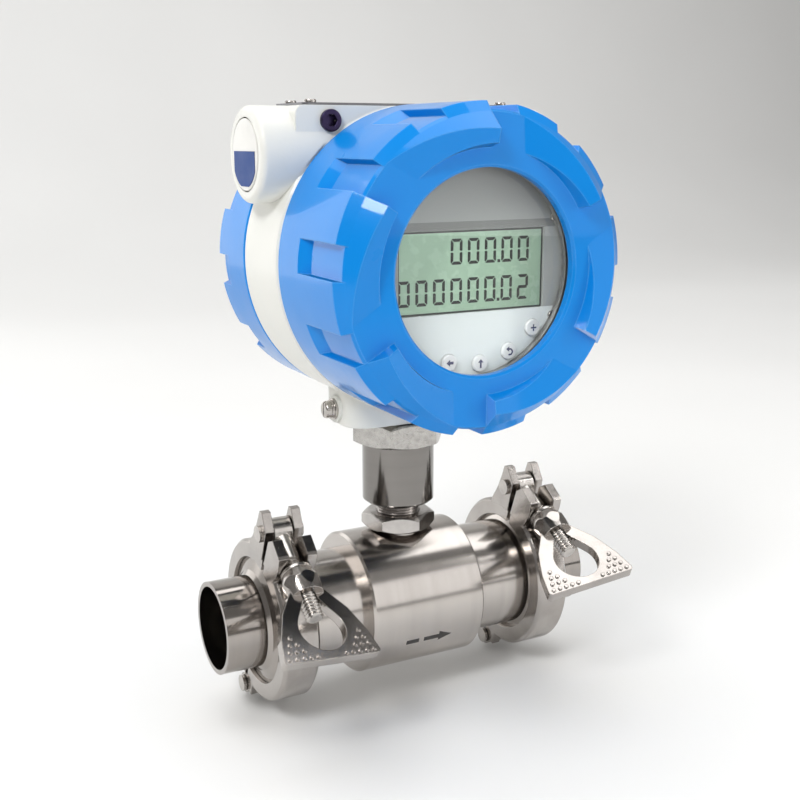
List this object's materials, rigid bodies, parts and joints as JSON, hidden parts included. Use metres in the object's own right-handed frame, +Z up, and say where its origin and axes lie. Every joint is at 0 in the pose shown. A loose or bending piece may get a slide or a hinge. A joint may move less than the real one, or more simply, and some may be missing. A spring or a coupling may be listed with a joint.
{
  "type": "turbine flow meter",
  "caption": "Inline turbine flow meter: clamped pipe stubs, turned body, threaded stem and a round housing with screwed scalloped covers and a display window.",
  "frame": {"origin": "centre of the inlet pipe stub's open end", "axes": "+X along the pipe in the direction of flow, +Z up towards the housing, display facing -Y"},
  "size_m": [0.143, 0.1119, 0.2089],
  "materials": {
    "blue_enamel": "gloss enamel",
    "ivory_enamel": "semi-gloss enamel",
    "turned_steel": "fine turned",
    "hammered_steel": "forged and polished",
    "polished_steel": "polished",
    "cast_steel": "investment cast, tumbled",
    "fastener_steel": "bright",
    "lock_screw_black": "blackened",
    "turbine_steel": "satin",
    "bush_carbon": "matt",
    "ptfe": "matt",
    "seal_rubber": "matt",
    "coil_copper": "enamelled winding",
    "magnet_grey": "ground",
    "lead_red": "satin",
    "clear_glass": "clear",
    "ring_steel": "machined",
    "panel_print": "satin film",
    "can_grey": "textured",
    "lcd": "grey-green display",
    "circuit_green": "solder mask",
    "post_brass": "turned",
    "terminal_green": "moulded",
    "key_white": "satin",
    "label_dark": "anodised plate",
    "plug_ivory": "satin",
    "plug_blue": "gloss"
  },
  "bodies": {
    "meter": {"housing_body": "ivory_enamel", "flow_body": "turned_steel", "amplifier_sleeve": "turned_steel", "pickup_body": "turned_steel", "stem_adaptor": "hammered_steel", "lock_nut": "hammered_steel", "inlet_ferrule": "polished_steel", "outlet_ferrule": "polished_steel", "inlet_clamp_rear_half": "cast_steel", "outlet_clamp_rear_half": "cast_steel", "clamp_hinge_pins": "fastener_steel", "clamp_bolt_pins": "fastener_steel", "ground_screw": "fastener_steel", "ground_washers": "fastener_steel", "nameplate_screws": "fastener_steel", "panel_screws": "fastener_steel", "terminal_screws": "fastener_steel", "lock_screw": "lock_screw_black", "inlet_flow_guide": "turbine_steel", "outlet_flow_guide": "turbine_steel", "retaining_rings": "turbine_steel", "shaft_bushes": "bush_carbon", "inlet_gasket": "ptfe", "outlet_gasket": "ptfe", "plug_seal": "seal_rubber", "stem_seal": "seal_rubber", "pickup_coil": "coil_copper", "pickup_magnet": "magnet_grey", "pickup_leads": "lead_red", "display_panel": "panel_print", "display_can": "can_grey", "lcd_glass": "lcd", "display_board": "circuit_green", "terminal_board": "circuit_green", "board_posts": "post_brass", "terminal_block": "terminal_green", "nameplate": "label_dark", "cable_plug": "plug_ivory", "plug_insert": "plug_blue"},
    "rotor": {"turbine_rotor": "turbine_steel", "rotor_shaft": "turbine_steel"},
    "front_cover_seal": {"front_cover_o_ring": "seal_rubber"},
    "front_cover": {"front_cover": "blue_enamel", "window_glass": "clear_glass", "window_retaining_ring": "ring_steel"},
    "back_cover_seal": {"back_cover_o_ring": "seal_rubber"},
    "back_cover": {"back_cover": "blue_enamel"},
    "key_1": {"key_1": "key_white"},
    "key_2": {"key_2": "key_white"},
    "key_3": {"key_3": "key_white"},
    "key_4": {"key_4": "key_white"},
    "inlet_front_half": {"inlet_clamp_front_half": "cast_steel"},
    "inlet_swing_bolt": {"inlet_clamp_swing_bolt": "fastener_steel"},
    "inlet_nut_washer": {"inlet_clamp_nut_washer": "fastener_steel"},
    "inlet_wing_nut": {"inlet_clamp_wing_nut": "cast_steel"},
    "outlet_front_half": {"outlet_clamp_front_half": "cast_steel"},
    "outlet_swing_bolt": {"outlet_clamp_swing_bolt": "fastener_steel"},
    "outlet_nut_washer": {"outlet_clamp_nut_washer": "fastener_steel"},
    "outlet_wing_nut": {"outlet_clamp_wing_nut": "cast_steel"}
  },
  "joints": [
    {"name": "rotor_spin", "type": "hinge", "parent": "meter", "child": "rotor", "pos_m": [0.0715, 0, 0], "axis": [1, 0, 0], "continuous": true},
    {"name": "front_cover_lift", "type": "slide", "parent": "meter", "child": "front_cover_seal", "axis": [0, -1, 0], "range_m": [0, 0.012]},
    {"name": "front_cover_turn", "type": "hinge", "parent": "front_cover_seal", "child": "front_cover", "pos_m": [0.0715, -0.0151, 0.1232], "axis": [0, -1, 0], "range_deg": [0, 2160]},
    {"name": "back_cover_lift", "type": "slide", "parent": "meter", "child": "back_cover_seal", "axis": [0, 1, 0], "range_m": [0, 0.012]},
    {"name": "back_cover_turn", "type": "hinge", "parent": "back_cover_seal", "child": "back_cover", "pos_m": [0.0715, 0.0151, 0.1232], "axis": [0, 1, 0], "range_deg": [0, 2160]},
    {"name": "key_1_press", "type": "slide", "parent": "meter", "child": "key_1", "axis": [0, 1, 0], "range_m": [0, 0.0007], "stiffness_N_per_m": 400},
    {"name": "key_2_press", "type": "slide", "parent": "meter", "child": "key_2", "axis": [0, 1, 0], "range_m": [0, 0.0007], "stiffness_N_per_m": 400},
    {"name": "key_3_press", "type": "slide", "parent": "meter", "child": "key_3", "axis": [0, 1, 0], "range_m": [0, 0.0007], "stiffness_N_per_m": 400},
    {"name": "key_4_press", "type": "slide", "parent": "meter", "child": "key_4", "axis": [0, 1, 0], "range_m": [0, 0.0007], "stiffness_N_per_m": 400},
    {"name": "inlet_bolt_swing", "type": "hinge", "parent": "meter", "child": "inlet_swing_bolt", "pos_m": [0.0215, -0.00883, 0.03423], "axis": [-1, 0, 0], "range_deg": [0, 70]},
    {"name": "inlet_nut_travel", "type": "slide", "parent": "inlet_swing_bolt", "child": "inlet_nut_washer", "axis": [0, -0.8231, -0.5678], "range_m": [0, 0.01]},
    {"name": "inlet_nut_turn", "type": "hinge", "parent": "inlet_nut_washer", "child": "inlet_wing_nut", "pos_m": [0.0215, -0.00883, 0.03423], "axis": [0, -0.8231, -0.5678], "range_deg": [0, 2880]},
    {"name": "inlet_half_open", "type": "hinge", "parent": "meter", "child": "inlet_front_half", "pos_m": [0.0215, 0.01207, -0.02899], "axis": [1, 0, 0], "range_deg": [0, 6.5]},
    {"name": "outlet_bolt_swing", "type": "hinge", "parent": "meter", "child": "outlet_swing_bolt", "pos_m": [0.1215, -0.00484, 0.03502], "axis": [-1, 0, 0], "range_deg": [0, 70]},
    {"name": "outlet_nut_travel", "type": "slide", "parent": "outlet_swing_bolt", "child": "outlet_nut_washer", "axis": [0, -0.8829, -0.4695], "range_m": [0, 0.01]},
    {"name": "outlet_nut_turn", "type": "hinge", "parent": "outlet_nut_washer", "child": "outlet_wing_nut", "pos_m": [0.1215, -0.00484, 0.03502], "axis": [0, -0.8829, -0.4695], "range_deg": [0, 2880]},
    {"name": "outlet_half_open", "type": "hinge", "parent": "meter", "child": "outlet_front_half", "pos_m": [0.1215, 0.00865, -0.03018], "axis": [1, 0, 0], "range_deg": [0, 6.5]}
  ],
  "couplings": [
    {"joint": "front_cover_lift", "follows": "front_cover_turn", "m_per_rad": 0.00031831},
    {"joint": "back_cover_lift", "follows": "back_cover_turn", "m_per_rad": 0.00031831},
    {"joint": "inlet_nut_travel", "follows": "inlet_nut_turn", "m_per_rad": 0.00019894},
    {"joint": "inlet_half_open", "follows": "inlet_nut_turn", "ratio": 0.0022569},
    {"joint": "outlet_nut_travel", "follows": "outlet_nut_turn", "m_per_rad": 0.00019894},
    {"joint": "outlet_half_open", "follows": "outlet_nut_turn", "ratio": 0.0022569}
  ]
}
